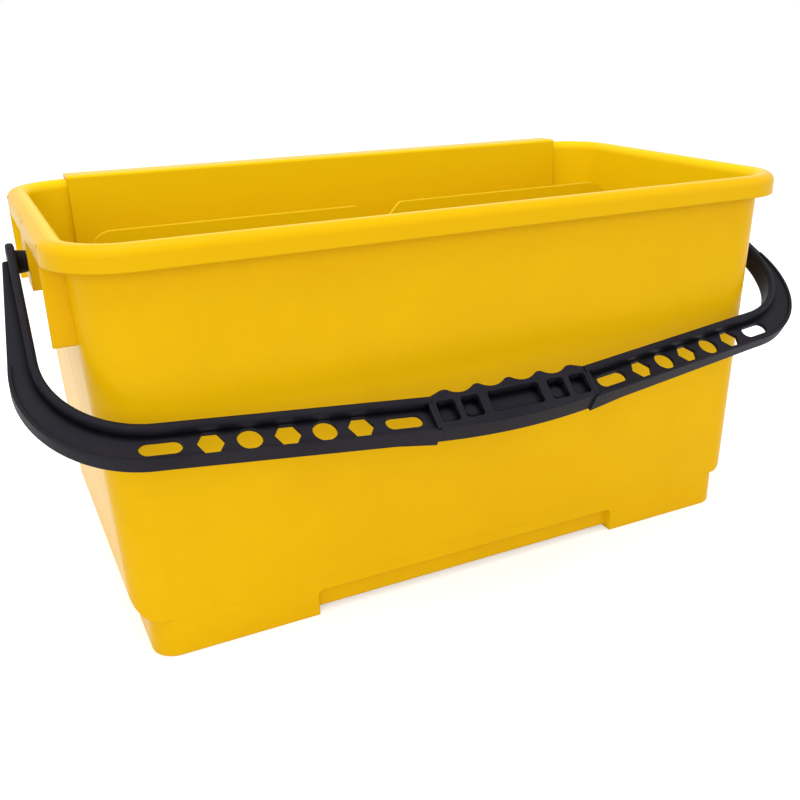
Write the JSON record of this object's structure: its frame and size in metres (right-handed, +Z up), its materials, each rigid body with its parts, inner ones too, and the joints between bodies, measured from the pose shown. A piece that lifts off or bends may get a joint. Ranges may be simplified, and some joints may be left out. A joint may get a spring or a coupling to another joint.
{
  "type": "window cleaning bucket",
  "caption": "Long rectangular window cleaning bucket with a drafted tub, corner feet, a lift-out tool tray hooked over the back rim and a pierced bail handle.",
  "frame": {"origin": "on the floor, under the middle of the bounding box of the whole object with its handle hanging in front", "axes": "+X along the bucket, +Y from the front to the back, +Z up"},
  "size_m": [0.5714, 0.3146, 0.2726],
  "materials": {
    "yellow_plastic": "smooth moulded, fairly glossy",
    "black_plastic": "moulded, satin"
  },
  "bodies": {
    "tub": {"tub": "yellow_plastic"},
    "tray": {"tool_tray": "yellow_plastic"},
    "handle": {"handle_arm_left": "black_plastic", "handle_arm_right": "black_plastic", "handle_grip": "black_plastic", "grip_rivets": "black_plastic"}
  },
  "joints": [
    {"name": "tray_lift", "type": "slide", "parent": "tub", "child": "tray", "axis": [0, 0, 1], "range_m": [0, 0.3]},
    {"name": "handle_swing", "type": "hinge", "parent": "tub", "child": "handle", "pos_m": [0, 0.01855, 0.2385], "axis": [-1, 0, 0], "range_deg": [0, 239]}
  ]
}
